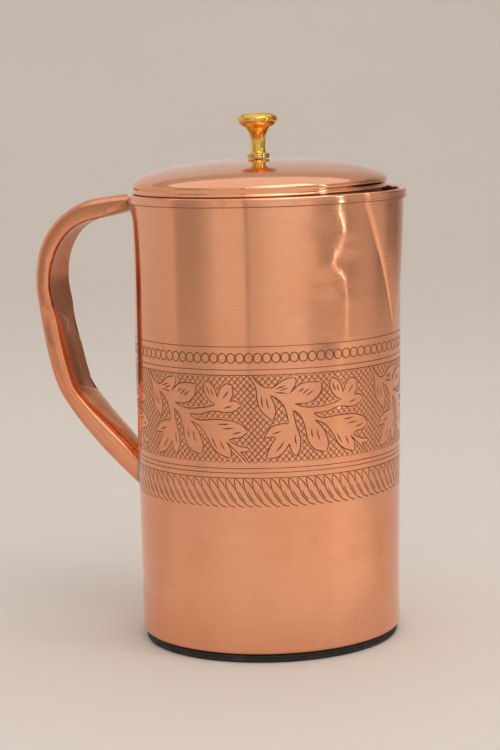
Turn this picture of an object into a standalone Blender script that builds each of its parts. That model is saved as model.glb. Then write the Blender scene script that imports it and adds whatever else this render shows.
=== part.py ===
"""Copper water jug with a pinched spout, a hollow sheet handle and a lift-off lid with a brass knob.

Frame: origin at the centre of the foot pad's underside, +Z up, +X towards the spout and -X
towards the handle. All sizes are in metres.
"""

import math

import bmesh
import bpy

# Driving sizes of the jug.
GAP = 0.0003                # clearance between neighbouring pieces
SHEET = 0.0009              # copper sheet of the wall
LEVEL = 0.0036              # height of the copper's lower edge above the table
R_BASE = 0.0572             # outer radius at the base
R_NARROWING = 0.0008        # how much the plain wall narrows towards the rim
CORNER = 0.0024             # outer radius of the rounded lower corner
LIP_R = 0.0500              # hole left in the shell's bottom by its turned-in lip
WALL_TOP = LEVEL + 0.1921   # upper edge of the shell, inside the rim band
BAND_LOW = LEVEL + 0.1893   # lower edge of the rim band
BAND_TOP = LEVEL + 0.1932   # top of the rim band
BAND_SHEET = 0.0008         # folded strip of the rim band
BAND_INNER_LEG = 0.0029     # depth of the band's leg inside the mouth

# The wall leans out on the spout's side, and the spout's beak stands out of that lean.
LEAN_START = LEVEL + 0.012
LEAN_TOP = 0.0058
LEAN_MOST = 0.0050          # the lean stops growing where the beak takes over
LEAN_HALF_ANGLE = math.radians(80)
BEAK_START = LEVEL + 0.130
BEAK_TOP = 0.0028
BEAK_HALF_ANGLE = math.radians(24)
SEGMENTS = 64               # facets round the jug

# Foot and base.
PAD_R = 0.0558
DISC_R = 0.0533
DISC_THICK = 0.0010

# Lid.
LID_R = 0.0558
LID_SHEET = 0.0008
LID_LOW = BAND_TOP + GAP
LID_SHOULDER = LEVEL + 0.1971
LID_APEX = LEVEL + 0.2066
LID_HOLE_R = 0.0022
RING_R = 0.0532             # plug ring that drops into the mouth
RING_SHEET = 0.0008
RING_LOW = LEVEL + 0.1865

# Knob, its screw and washer.
KNOB_R = 0.0087
KNOB_TOP = LEVEL + 0.2268
COLLAR_R = 0.00485
COLLAR_HIGH = 0.0021
NECK_R = 0.0032
BORE_R = 0.0021
BORE_DEPTH = 0.0066
SHANK_R = 0.0017
HEAD_R = 0.0036
HEAD_HIGH = 0.0021
WASHER_R = 0.0055
WASHER_THICK = 0.0006

# Handle: crown line and finger line in the XZ plane above the copper's lower edge, with the half
# width, from the joint at the rim to the joint on the wall. Columns: crown x, z, finger x, z, half.
HANDLE_STATIONS = (
    (-0.0592, 0.1922, -0.0592, 0.1844, 0.0080),
    (-0.0720, 0.1910, -0.0710, 0.1815, 0.0075),
    (-0.0855, 0.1882, -0.0820, 0.1793, 0.0076),
    (-0.0982, 0.1803, -0.0905, 0.1742, 0.0083),
    (-0.1059, 0.1688, -0.0968, 0.1645, 0.0095),
    (-0.1086, 0.1540, -0.0990, 0.1530, 0.0106),
    (-0.1073, 0.1395, -0.0974, 0.1415, 0.0108),
    (-0.1047, 0.1215, -0.0930, 0.1240, 0.0109),
    (-0.0993, 0.1038, -0.0880, 0.1060, 0.0110),
    (-0.0895, 0.0888, -0.0795, 0.0958, 0.0105),
    (-0.0769, 0.0743, -0.0685, 0.0849, 0.0092),
    (-0.0592, 0.0580, -0.0592, 0.0753, 0.0080),
)
STEPS_PER_STATION = 4
HANDLE_SHEET = 0.0010
EDGE_WIDTH = 0.0012         # shell edge left beside the grip strip
SEAM_HALF = 0.0003          # half of the seam where the shell is rolled shut
STRIP_END = 8.25            # station at which the strip ends
SLOT_END = 8.5              # station from which the shell's edges come together
STRIP_THICK = 0.0010
SHELL_POINTS = 14           # points across the shell's outer or inner face

# Solder pads between the handle's ends and the jug.
SOLDER_END_X = HANDLE_STATIONS[0][0] + GAP
SOLDER_POINTS = 24
UPPER_SOLDER = (0.1883, 0.0050, 0.0091, 0.0580)   # height, half height, half width, radius behind
LOWER_SOLDER = (0.0667, 0.0096, 0.0090, 0.0574)


def clear_scene():
    for item in list(bpy.data.objects):
        bpy.data.objects.remove(item)


def make_material(name, colour, roughness, metallic):
    material = bpy.data.materials.new(name)
    material.use_nodes = True
    shader = material.node_tree.nodes["Principled BSDF"]
    shader.inputs["Base Color"].default_value = (*colour, 1.0)
    shader.inputs["Roughness"].default_value = roughness
    shader.inputs["Metallic"].default_value = metallic
    return material


def finish_object(name, mesh_data, material, sharp_angle=35):
    """Turn a finished bmesh into a named object with smooth round faces."""
    bmesh.ops.remove_doubles(mesh_data, verts=mesh_data.verts, dist=1e-7)
    bmesh.ops.recalc_face_normals(mesh_data, faces=mesh_data.faces)
    mesh = bpy.data.meshes.new(name)
    mesh_data.to_mesh(mesh)
    mesh_data.free()
    mesh.materials.append(material)
    mesh.shade_smooth()
    mesh.set_sharp_from_angle(angle=math.radians(sharp_angle))
    item = bpy.data.objects.new(name, mesh)
    bpy.context.collection.objects.link(item)
    return item


def turned(name, profile, material, segments=SEGMENTS):
    """Spin a profile of (radius, height) once round the Z axis; it closes on itself or on the axis."""
    work = bmesh.new()
    points = [work.verts.new((radius, 0.0, height)) for radius, height in profile]
    on_axis = profile[0][0] == 0 and profile[-1][0] == 0
    pairs = list(zip(points, points[1:]))
    if not on_axis:
        pairs.append((points[-1], points[0]))
    edges = [work.edges.new(pair) for pair in pairs]
    bmesh.ops.spin(work, geom=points + edges, cent=(0, 0, 0), axis=(0, 0, 1),
                   angle=2 * math.pi, steps=segments, use_merge=True)
    bmesh.ops.remove_doubles(work, verts=work.verts, dist=1e-7)
    bmesh.ops.dissolve_degenerate(work, edges=work.edges, dist=1e-7)
    return finish_object(name, work, material)


def lofted(name, loops, material, ring_shaped=False, sharp_angle=35):
    """Join equal closed loops of points in order; a ring-shaped body joins the last to the first."""
    work = bmesh.new()
    rows = [[work.verts.new(point) for point in loop] for loop in loops]
    pairs = list(zip(rows, rows[1:]))
    if ring_shaped:
        pairs.append((rows[-1], rows[0]))
    else:
        work.faces.new(rows[0])
        work.faces.new(rows[-1])
    for low, high in pairs:
        for k in range(len(low)):
            n = (k + 1) % len(low)
            work.faces.new((low[k], low[n], high[n], high[k]))
    return finish_object(name, work, material, sharp_angle)


def arc(centre, radius, start, end, count):
    """Points on an arc in the (radius, height) plane, angles in degrees."""
    angles = [math.radians(start + (end - start) * k / count) for k in range(count + 1)]
    return [(centre[0] + radius * math.cos(a), centre[1] + radius * math.sin(a)) for a in angles]


def bump(angle, half_angle, power):
    """A smooth rise that is 1 on the spout's centre line and 0 beyond the half angle."""
    share = min(abs(angle) / half_angle, 1.0)
    return math.cos(0.5 * math.pi * share) ** power


def wall_radius(angle, height):
    """Outer radius of the jug's wall; the angle is measured from the spout's centre line."""
    up = (height - LEVEL) / (WALL_TOP - LEVEL)
    lean = max(0.0, (height - LEAN_START) / (WALL_TOP - LEAN_START))
    beak = max(0.0, (height - BEAK_START) / (WALL_TOP - BEAK_START))
    radius = R_BASE - R_NARROWING * up
    radius += min(LEAN_TOP * lean, LEAN_MOST) * bump(angle, LEAN_HALF_ANGLE, 2)
    return radius + BEAK_TOP * beak * bump(angle, BEAK_HALF_ANGLE, 2)


def wall_loop(inset, height):
    """One level loop round the jug, a given distance inside the wall's outer face."""
    loop = []
    for k in range(SEGMENTS):
        angle = 2 * math.pi * k / SEGMENTS
        signed = angle if angle <= math.pi else angle - 2 * math.pi
        radius = wall_radius(signed, height) - inset
        loop.append((radius * math.cos(angle), radius * math.sin(angle), height))
    return loop


def make_body_shell(copper):
    """Wall of the jug: rounded lower corner, turned-in lip under it, spout pressed out of the rim."""
    centre = (R_BASE - CORNER, LEVEL + CORNER)
    outer_corner = arc(centre, CORNER, -90, 0, 5)
    inner_corner = arc(centre, CORNER - SHEET, 0, -90, 5)
    heights = (0.030, 0.060, 0.090, 0.115, 0.130, 0.151, 0.165, 0.180)
    levels = [LEVEL + h for h in heights] + [WALL_TOP]
    loops = [wall_loop(R_BASE - LIP_R, LEVEL)]
    loops += [wall_loop(R_BASE - radius, height) for radius, height in outer_corner]
    loops += [wall_loop(0.0, height) for height in levels]
    loops += [wall_loop(SHEET, height) for height in reversed(levels)]
    loops += [wall_loop(R_BASE - radius, height) for radius, height in inner_corner]
    loops.append(wall_loop(R_BASE - LIP_R, LEVEL + SHEET))
    return lofted("body_shell", loops, copper, ring_shaped=True)


def make_base_disc(copper):
    """Flat copper disc that closes the jug's bottom, lying on the shell's turned-in lip."""
    low = LEVEL + SHEET + GAP
    high = low + DISC_THICK
    profile = [(0, low), (DISC_R, low), (DISC_R, high), (0, high)]
    return turned("base_disc", profile, copper)


def make_foot_pad(rubber):
    """Black pad under the jug, with a plug that fills the hole inside the shell's lip."""
    edge = 0.0008
    top = LEVEL - GAP
    plug_r = LIP_R - GAP
    profile = [(0, 0), (PAD_R - edge, 0), (PAD_R, edge), (PAD_R, top), (plug_r, top),
               (plug_r, LEVEL + SHEET), (0, LEVEL + SHEET)]
    return turned("foot_pad", profile, rubber)


def make_rim_band(copper):
    """Strip folded over the rim: a leg outside the wall, a rounded top and a leg in the mouth."""
    out = GAP + BAND_SHEET
    inside = SHEET + GAP
    web = BAND_TOP - BAND_SHEET
    inner_low = BAND_TOP - BAND_INNER_LEG
    section = [(out, BAND_LOW), (out, BAND_TOP - 0.0008), (out - 0.0003, BAND_TOP - 0.0003),
               (out - 0.0009, BAND_TOP), (0.0006 - inside - BAND_SHEET, BAND_TOP),
               (-inside - BAND_SHEET, BAND_TOP - 0.0006), (-inside - BAND_SHEET, inner_low),
               (-inside, inner_low), (-inside, web), (GAP, web), (GAP, BAND_LOW)]
    loops = [wall_loop(-offset, height) for offset, height in section]
    return lofted("rim_band", loops, copper, ring_shaped=True)


def lid_profile(radius, shoulder, apex, hole, count):
    """Half of the dome from its edge to the hole, a superellipse that stands upright at its edge."""
    points = []
    for k in range(count + 1):
        r = hole + (radius - hole) * math.sin(0.5 * math.pi * (1 - k / count))
        points.append((r, shoulder + (apex - shoulder) * (1 - (r / radius) ** 2.5) ** 0.625))
    return points


def make_lid_dome(copper):
    """Low domed lid with a short upright flange that stands on the rim band."""
    outer = lid_profile(LID_R, LID_SHOULDER, LID_APEX, LID_HOLE_R, 10)
    inner = lid_profile(LID_R - LID_SHEET, LID_SHOULDER, LID_APEX - LID_SHEET, LID_HOLE_R, 10)
    profile = [(LID_R, LID_LOW)] + outer + inner[::-1] + [(LID_R - LID_SHEET, LID_LOW)]
    return turned("lid_dome", profile, copper)


def make_lid_plug_ring(copper):
    """Upright ring under the lid that drops into the round mouth and keeps the lid in place."""
    inner = RING_R - RING_SHEET
    under = LID_APEX - LID_SHEET - LID_SHOULDER
    reach = (1 - (RING_R / (LID_R - LID_SHEET)) ** 2.5) ** 0.625
    top = LID_SHOULDER + under * reach - GAP
    profile = [(RING_R, RING_LOW), (RING_R, top), (inner, top), (inner, RING_LOW)]
    return turned("lid_plug_ring", profile, copper)


def make_knob(brass):
    """Turned knob: a collar on the lid, a waisted stem and a mushroom head, drilled from below."""
    low = LID_APEX + GAP
    collar_top = low + COLLAR_HIGH
    stem_top = KNOB_TOP - 0.0070
    widest = KNOB_TOP - 0.0032
    profile = [(0, low + BORE_DEPTH + 0.0006), (BORE_R, low + BORE_DEPTH), (BORE_R, low),
               (COLLAR_R - 0.0003, low), (COLLAR_R, low + 0.0003),
               (COLLAR_R, collar_top - 0.0003), (COLLAR_R - 0.0004, collar_top),
               (NECK_R + 0.0002, collar_top + 0.0004), (NECK_R, collar_top + 0.0015),
               (NECK_R, collar_top + 0.0030), (NECK_R + 0.0003, collar_top + 0.0062),
               (NECK_R + 0.0008, collar_top + 0.0079), (0.0045, stem_top - 0.0016),
               (0.0052, stem_top), (0.0068, stem_top + 0.0014), (0.0082, widest - 0.0010),
               (KNOB_R, widest), (0.0086, widest + 0.0009), (0.0078, widest + 0.0018),
               (0.0060, KNOB_TOP - 0.0007), (0.0030, KNOB_TOP - 0.0002), (0, KNOB_TOP)]
    return turned("knob", profile, brass, 32)


def make_knob_washer(steel):
    """Washer between the lid's underside and the screw's head."""
    high = LID_APEX - LID_SHEET - GAP
    low = high - WASHER_THICK
    profile = [(BORE_R, low), (WASHER_R, low), (WASHER_R, high), (BORE_R, high)]
    return turned("knob_washer", profile, steel, 32)


def make_knob_screw(steel):
    """Screw that holds the knob: a domed head under the washer and a shank up into the knob."""
    head_top = LID_APEX - LID_SHEET - WASHER_THICK - 2 * GAP
    head_low = head_top - HEAD_HIGH
    shank_top = LID_APEX + BORE_DEPTH - GAP
    profile = [(0, head_low), (HEAD_R * 0.62, head_low + 0.0003), (HEAD_R, head_low + 0.0013),
               (HEAD_R, head_top), (SHANK_R, head_top), (SHANK_R, shank_top - 0.0004),
               (SHANK_R - 0.0004, shank_top), (0, shank_top)]
    return turned("knob_screw", profile, steel, 24)


def handle_station(position):
    """Crown x, z, finger x, z and half width at a place along the handle, by a smooth spline."""
    last = len(HANDLE_STATIONS) - 1
    k = min(int(position), last - 1)
    t = position - k
    before = HANDLE_STATIONS[max(k - 1, 0)]
    start = HANDLE_STATIONS[k]
    end = HANDLE_STATIONS[k + 1]
    after = HANDLE_STATIONS[min(k + 2, last)]
    values = []
    for a, b, c, d in zip(before, start, end, after):
        values.append(0.5 * (2 * b + (c - a) * t + (2 * a - 5 * b + 4 * c - d) * t * t
                             + (3 * b - a - 3 * c + d) * t ** 3))
    return values


def slot_half(position, half):
    """Half width of the opening in the shell's finger side: wide at the strip, then a tight seam."""
    closing = min(max((position - SLOT_END) / 0.5, 0.0), 1.0)
    return (half - EDGE_WIDTH) * (1 - closing) + SEAM_HALF * closing


def section_point(position, angle, inset):
    """Point of the handle's section: rounded crown, and a flat finger side that turns round."""
    crown_x, crown_z, finger_x, finger_z, half = handle_station(position)
    middle = ((crown_x + finger_x) / 2, (crown_z + finger_z) / 2)
    deep = math.hypot(crown_x - finger_x, crown_z - finger_z) / 2
    out = ((crown_x - middle[0]) / deep, (crown_z - middle[1]) / deep)
    roundness = min(max((position - STRIP_END) / 1.5, 0.0), 1.0)
    power = 0.75 if math.sin(angle) > 0 else 0.22 + 0.5 * roundness
    depth = (deep - inset) * math.copysign(abs(math.sin(angle)) ** power, math.sin(angle))
    side = (half - inset) * math.cos(angle)
    return (middle[0] + out[0] * depth, side, LEVEL + middle[1] + out[1] * depth)


def shell_section(position):
    """Closed loop of the folded shell: its outer face from lip to lip, then its inner face back."""
    half = handle_station(position)[4]
    gap = slot_half(position, half)
    faces = []
    for inset in (0.0, HANDLE_SHEET):
        lip = math.acos(min(gap / (half - inset), 1.0))
        start = -lip
        end = math.pi + lip
        angles = [start + (end - start) * k / (SHELL_POINTS - 1) for k in range(SHELL_POINTS)]
        faces.append([section_point(position, angle, inset) for angle in angles])
    return faces[0] + faces[1][::-1]


def make_handle_shell(copper):
    """Crown and sides of the handle, one sheet that is rolled shut below the grip strip."""
    count = (len(HANDLE_STATIONS) - 1) * STEPS_PER_STATION
    loops = [shell_section(k / STEPS_PER_STATION) for k in range(count + 1)]
    return lofted("handle_shell", loops, copper)


def strip_section(position):
    """Flat rectangle of the grip strip between the shell's two edges."""
    crown_x, crown_z, finger_x, finger_z, half = handle_station(position)
    length = math.hypot(crown_x - finger_x, crown_z - finger_z)
    out = ((crown_x - finger_x) / length, (crown_z - finger_z) / length)
    side = half - EDGE_WIDTH - GAP
    loop = []
    for across, depth in ((-side, GAP), (side, GAP), (side, STRIP_THICK + GAP),
                          (-side, STRIP_THICK + GAP)):
        loop.append((finger_x + out[0] * depth, across, LEVEL + finger_z + out[1] * depth))
    return loop


def make_handle_strip(copper):
    """Grip strip that closes the finger side of the handle."""
    count = round(STRIP_END * STEPS_PER_STATION)
    loops = [strip_section(STRIP_END * k / count) for k in range(count + 1)]
    return lofted("handle_strip", loops, copper)


def make_solder(name, place, solder):
    """Solder pad: flat towards the handle's end, hollow towards the round jug, swollen between."""
    height, half_high, half_wide, radius = place
    loops = []
    for share, swell in ((0.0, 0.9), (0.5, 1.0), (1.0, 0.94)):
        loop = []
        for k in range(SOLDER_POINTS):
            angle = 2 * math.pi * k / SOLDER_POINTS
            y = half_wide * swell * math.cos(angle)
            back = -math.sqrt(radius * radius - y * y)
            x = SOLDER_END_X + (back - SOLDER_END_X) * share
            loop.append((x, y, LEVEL + height + half_high * swell * math.sin(angle)))
        loops.append(loop)
    return lofted(name, loops, solder, sharp_angle=50)


def main():
    clear_scene()
    copper = make_material("copper", (0.80, 0.40, 0.24), 0.28, 1.0)
    brass = make_material("brass", (0.83, 0.58, 0.18), 0.18, 1.0)
    rubber = make_material("rubber", (0.02, 0.02, 0.02), 0.60, 0.0)
    solder = make_material("solder", (0.45, 0.42, 0.40), 0.45, 1.0)
    steel = make_material("steel", (0.60, 0.60, 0.60), 0.30, 1.0)
    make_foot_pad(rubber)
    make_base_disc(copper)
    make_body_shell(copper)
    make_rim_band(copper)
    make_handle_shell(copper)
    make_handle_strip(copper)
    make_solder("upper_solder_joint", UPPER_SOLDER, solder)
    make_solder("lower_solder_joint", LOWER_SOLDER, solder)
    make_lid_dome(copper)
    make_lid_plug_ring(copper)
    make_knob(brass)
    make_knob_washer(steel)
    make_knob_screw(steel)


main()
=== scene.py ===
"""Copper water jug: the visual model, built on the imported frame. All sizes are in metres."""

import math

import bmesh
import bpy
from mathutils import Matrix, Vector, kdtree, noise
from mathutils.geometry import delaunay_2d_cdt


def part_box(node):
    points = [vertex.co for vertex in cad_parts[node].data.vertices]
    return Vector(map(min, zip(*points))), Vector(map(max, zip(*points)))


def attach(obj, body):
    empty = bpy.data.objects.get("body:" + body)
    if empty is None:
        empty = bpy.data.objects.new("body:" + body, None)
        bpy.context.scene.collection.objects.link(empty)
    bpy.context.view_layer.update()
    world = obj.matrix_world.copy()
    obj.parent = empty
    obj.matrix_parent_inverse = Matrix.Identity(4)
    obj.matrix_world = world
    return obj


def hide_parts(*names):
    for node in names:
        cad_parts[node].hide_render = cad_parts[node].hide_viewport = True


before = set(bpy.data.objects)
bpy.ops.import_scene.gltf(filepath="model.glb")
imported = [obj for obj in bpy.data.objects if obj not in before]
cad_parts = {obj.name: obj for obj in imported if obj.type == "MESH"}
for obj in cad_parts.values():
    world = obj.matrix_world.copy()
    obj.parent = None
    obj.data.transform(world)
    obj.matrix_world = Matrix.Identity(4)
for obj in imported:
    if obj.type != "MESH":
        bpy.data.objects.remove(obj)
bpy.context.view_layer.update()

MM = 0.001

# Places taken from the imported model.
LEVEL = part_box("body_shell")[0].z          # the copper's lower edge above the table
WALL_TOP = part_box("body_shell")[1].z
BAND_LOW, BAND_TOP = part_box("rim_band")[0].z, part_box("rim_band")[1].z
LID_R, LID_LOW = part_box("lid_dome")[1].x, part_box("lid_dome")[0].z
LID_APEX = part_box("lid_dome")[1].z
RING_R, RING_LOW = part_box("lid_plug_ring")[1].x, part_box("lid_plug_ring")[0].z
KNOB_LOW, KNOB_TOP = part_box("knob")[0].z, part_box("knob")[1].z
PAD_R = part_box("foot_pad")[1].x
DISC_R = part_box("base_disc")[1].x

# Sizes of the wall, as in the CAD source but for the tighter lower corner.
GAP = 0.3 * MM
SHEET = 0.9 * MM
R_BASE = 57.2 * MM
TAPER = 0.8 * MM             # how much narrower the plain wall is at its top
CORNER = 1.8 * MM
LIP_R = 50.0 * MM
WALL_HIGH = WALL_TOP - LEVEL
LEAN_START = 12 * MM         # the wall leans out towards the spout from here up
LEAN_TOP = 5.8 * MM
LEAN_MOST = 5.0 * MM         # the lean stops growing where the beak takes over
LEAN_SPREAD = math.radians(80)
BEAK_ROOT = 130 * MM
BEAK_TOP = 2.8 * MM
BEAK_SPREAD = 0.37           # half angle in degrees that the beak gains with each millimetre
RIDGE = 0.90                 # where the nose meets the flank, as a share of the beak's half angle
FLANK_TURN = 40.4            # degrees from the spout that the flank's surface faces
ENGRAVED_LOW, ENGRAVED_HIGH = 62 * MM, 133 * MM


def clamp(value, low=0.0, high=1.0):
    return min(max(value, low), high)


def smooth(value):
    value = clamp(value)
    return value * value * (3 - 2 * value)


def soft_min(a, b, blend):
    share = clamp(0.5 + 0.5 * (b - a) / blend)
    return b + (a - b) * share - blend * share * (1 - share)


def wave(x, y, z=0.0):
    """Smooth noise from -1 to 1, the same on every run."""
    return noise.noise(Vector((x, y, z)))


def round_wave(scale, angle, z):
    """Smooth noise that closes up round the axis."""
    return wave(scale * math.cos(angle), scale * math.sin(angle), z)


def polar(radius, angle, height):
    return (radius * math.cos(angle), radius * math.sin(angle), height)


def catmull(points, steps):
    """A smooth line through the given points, with a number of steps for each span."""
    last = len(points) - 1
    line = []
    for k in range(last):
        a, b = points[max(k - 1, 0)], points[k]
        c, d = points[k + 1], points[min(k + 2, last)]
        for i in range(steps):
            t = i / steps
            line.append(tuple(
                0.5 * (2 * q + (r - p) * t + (2 * p - 5 * q + 4 * r - s) * t * t
                       + (3 * q - p - 3 * r + s) * t ** 3)
                for p, q, r, s in zip(a, b, c, d)))
    line.append(tuple(points[-1]))
    return line


def curve(points):
    """A smooth function through a few (place, value) points."""
    def value(place):
        for (p0, v0), (p1, v1) in zip(points, points[1:]):
            if place < p1:
                return v0 + (v1 - v0) * smooth((place - p0) / (p1 - p0))
        return points[-1][1]
    return value


# --------------- materials

class Nodes:
    """A material whose nodes are added and linked in short calls."""

    def __init__(self, name, metallic=1.0):
        self.material = bpy.data.materials.new(name)
        self.material.use_nodes = True
        self.tree = self.material.node_tree
        self.shade({"Metallic": metallic})
        self.place = self.add("ShaderNodeTexCoord").outputs["Object"]

    def feed(self, node, inputs):
        """Give a node's inputs plain values or links."""
        for key, value in inputs.items():
            socket = node.inputs[key]
            if isinstance(value, bpy.types.NodeSocket):
                self.tree.links.new(value, socket)
            else:
                socket.default_value = (*value, 1) if socket.type == "RGBA" else value

    def shade(self, inputs):
        self.feed(self.tree.nodes["Principled BSDF"], inputs)

    def add(self, kind, inputs={}, **settings):
        node = self.tree.nodes.new(kind)
        for key, value in settings.items():
            setattr(node, key, value)
        self.feed(node, inputs)
        return node

    def mapped(self, scale):
        node = self.add("ShaderNodeMapping", {"Scale": scale, "Vector": self.place})
        return node.outputs["Vector"]

    def noise(self, scale, detail=2.0, rough=0.5, stretch=(1, 1, 1), distortion=0.0):
        return self.add("ShaderNodeTexNoise", {
            "Scale": scale, "Detail": detail, "Roughness": rough, "Distortion": distortion,
            "Vector": self.mapped(stretch)}).outputs["Fac"]

    def spots(self, scale, size):
        """1 in small round spots, 0 elsewhere."""
        node = self.add("ShaderNodeTexVoronoi", {"Scale": scale, "Vector": self.place})
        return self.ramp(node.outputs["Distance"], size * 0.4, size, 1.0, 0.0)

    def ramp(self, value, low, high, at_low=0.0, at_high=1.0):
        return self.add("ShaderNodeMapRange", {
            "From Min": low, "From Max": high, "To Min": at_low, "To Max": at_high,
            "Value": value}).outputs["Result"]

    def math(self, operation, a, b):
        return self.add("ShaderNodeMath", {0: a, 1: b}, operation=operation).outputs["Value"]

    def blend(self, share, a, b):
        node = self.add("ShaderNodeMix", {"Factor": share, "A": a, "B": b}, data_type="RGBA")
        return node.outputs["Result"]

    def finish(self, colour, rough, heights):
        """The material with its colour, roughness and bumps.

        The bumps are pairs of a height value and its depth in metres, coarse ones first."""
        last = {}
        for height, depth in heights:
            node = self.add("ShaderNodeBump", {"Strength": 1.0, "Distance": depth, "Height": height,
                                               **last})
            last = {"Normal": node.outputs["Normal"]}
        self.shade({"Base Color": colour, "Roughness": rough, **last})
        return self.material


AROUND = (0.02, 0.02, 1.0)   # noise stretched like this gives brush lines round the axis
ALONG = (1.0, 1.0, 0.06)     # and like this gives lines that run up and down


def make_copper(name, warm, pale, rough, brush=AROUND, marks=1.0, ridges=0.0):
    """Satin copper sheet: brush lines, cloudy colour, handling smudges and a few small specks."""
    n = Nodes(name)
    if brush != ALONG:             # brushed round the axis, so that light spreads up and down
        tangent = n.add("ShaderNodeTangent", direction_type="RADIAL", axis="Z")
        n.shade({"Anisotropic": 0.85 if rough > 0.1 else 0.5, "Anisotropic Rotation": 0.25,
                 "Tangent": tangent.outputs["Tangent"]})
    lines = n.noise(2600, 3, 0.6, brush)
    coarse = n.noise(700, 2, 0.5, brush)
    clouds = n.noise(28, 3, 0.55)
    smudge = n.ramp(n.noise(75, 4, 0.6, distortion=0.6), 0.52, 0.70)
    speck = n.spots(120, 0.055)
    colour = n.blend(n.ramp(clouds, 0.35, 0.68), warm, pale)
    dark = tuple(c * 0.72 for c in warm)
    colour = n.blend(n.math("MULTIPLY", smudge, 0.30 * marks), colour, dark)
    colour = n.blend(n.math("MULTIPLY", speck, 0.55 * marks), colour, tuple(c * 0.35 for c in warm))
    colour = n.blend(n.ramp(lines, 0.35, 0.75, 0.0, 0.25), colour, dark)
    gloss = n.ramp(lines, 0.3, 0.7, rough - 0.035, rough + 0.05)
    gloss = n.math("ADD", gloss, n.math("MULTIPLY", smudge, 0.07 * marks))
    gloss = n.math("ADD", gloss, n.ramp(clouds, 0.4, 0.7, 0.0, 0.03))
    heights = [(clouds, 0.02 * MM), (coarse, 0.0014 * MM), (lines, 0.0008 * MM)]
    if ridges:
        heights.append((n.noise(230, 2, 0.5, brush), ridges * MM))
    return n.finish(colour, gloss, heights)


COPPER_WARM, COPPER_PALE = (0.86, 0.38, 0.21), (0.87, 0.425, 0.255)


def make_materials():
    sheet = (COPPER_WARM, COPPER_PALE)
    made = {
        "wall": make_copper("satin_copper", *sheet, 0.15, marks=0.5),
        "inside": make_copper("inner_copper", (0.74, 0.33, 0.19), (0.80, 0.40, 0.25), 0.34),
        "rim": make_copper("rim_copper", *sheet, 0.15, marks=2.4),
        "lid": make_copper("spun_copper", *sheet, 0.085, (0.03, 0.03, 1.0), 0.7),
        # painted shade: the handle's copper is darker than the wall's to stand in for its darker
        # reflections, and the grip strip is darker and redder still as a painted dark red reflection
        # along the finger side
        "handle": make_copper("handle_copper_painted_shade", (0.80, 0.31, 0.155), (0.84, 0.375, 0.21), 0.15,
                              ALONG, 1.6, 0.06),
        "strip": make_copper("strip_copper_painted_shade", (0.52, 0.18, 0.075), (0.62, 0.24, 0.11), 0.24,
                             ALONG, 1.8, 0.04),
    }
    # Dark patina in the engraved grooves; the rim band's lower edge takes it too, as painted shade
    # under the band
    n = Nodes("groove_patina_and_hem_shade")
    patina = n.noise(900, 3, 0.6)
    made["groove"] = n.finish(
        n.blend(n.ramp(patina, 0.35, 0.7), (0.34, 0.13, 0.065), (0.17, 0.065, 0.035)),
        n.ramp(patina, 0.3, 0.7, 0.34, 0.52), [(patina, 0.006 * MM)])

    n = Nodes("turned_brass")
    rings = n.noise(3000, 2, 0.5, AROUND)
    haze = n.noise(160, 3, 0.6)
    made["brass"] = n.finish(
        n.blend(n.ramp(haze, 0.35, 0.7), (0.84, 0.53, 0.12), (0.70, 0.38, 0.07)),
        n.math("ADD", n.ramp(rings, 0.3, 0.7, 0.06, 0.13), n.ramp(haze, 0.45, 0.75, 0, 0.07)),
        [(haze, 0.006 * MM), (rings, 0.0012 * MM)])

    n = Nodes("soft_solder")
    lumps = n.noise(420, 4, 0.6)
    flux = n.ramp(n.noise(190, 3, 0.6), 0.48, 0.62)
    metal = n.blend(lumps, (0.30, 0.27, 0.25), (0.58, 0.55, 0.52))
    made["solder"] = n.finish(n.blend(flux, metal, (0.16, 0.10, 0.07)),
                              n.ramp(lumps, 0.3, 0.7, 0.30, 0.60), [(lumps, 0.12 * MM)])

    n = Nodes("plated_steel")
    grain = n.noise(1500, 3, 0.6)
    dull = n.noise(260, 3, 0.6)
    made["steel"] = n.finish(
        n.blend(n.ramp(dull, 0.4, 0.65), (0.62, 0.62, 0.60), (0.42, 0.41, 0.38)),
        n.ramp(grain, 0.3, 0.7, 0.24, 0.42), [(dull, 0.01 * MM), (grain, 0.003 * MM)])

    n = Nodes("black_rubber", 0.0)
    pores = n.noise(1800, 3, 0.6)
    dust = n.ramp(n.noise(140, 4, 0.65), 0.5, 0.72)
    made["rubber"] = n.finish(n.blend(dust, (0.014, 0.013, 0.013), (0.050, 0.045, 0.040)),
                              n.ramp(pores, 0.3, 0.7, 0.52, 0.78), [(pores, 0.02 * MM)])
    return made


# --------------- mesh helpers

def add_mesh(name, verts, faces, materials):
    """An object in the scene, made of points and faces."""
    mesh = bpy.data.meshes.new(name)
    mesh.from_pydata(verts, [], faces)
    for material in materials:
        mesh.materials.append(material)
    made = bpy.data.objects.new(name, mesh)
    bpy.context.collection.objects.link(made)
    return made


def new_piece(name, verts, faces, body, nodes, slot, materials, sharp=40, groups=None):
    """One shown piece, with its body and the CAD nodes it stands for; groups pick the materials."""
    piece = add_mesh(name, verts, faces, materials)
    mesh = piece.data
    if groups is not None:
        mesh.polygons.foreach_set("material_index", groups)
    work = bmesh.new()
    work.from_mesh(mesh)
    bmesh.ops.remove_doubles(work, verts=work.verts, dist=1e-7)
    bmesh.ops.recalc_face_normals(work, faces=work.faces)
    work.to_mesh(mesh)
    work.free()
    mesh.shade_smooth()
    mesh.set_sharp_from_angle(angle=math.radians(sharp))
    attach(piece, body)
    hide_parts(*nodes)


def loft(loops, closed=False, capped=False):
    """Vertices and faces that join equal closed loops of points in order."""
    verts = [point for loop in loops for point in loop]
    count, rows = len(loops[0]), len(loops)
    faces = []
    for row in range(rows if closed else rows - 1):
        low, high = row * count, (row + 1) % rows * count
        for k in range(count):
            n = (k + 1) % count
            faces.append((low + k, low + n, high + n, high + k))
    if capped:
        faces += [tuple(range(count)), tuple(range((rows - 1) * count, rows * count))]
    return verts, faces


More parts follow.
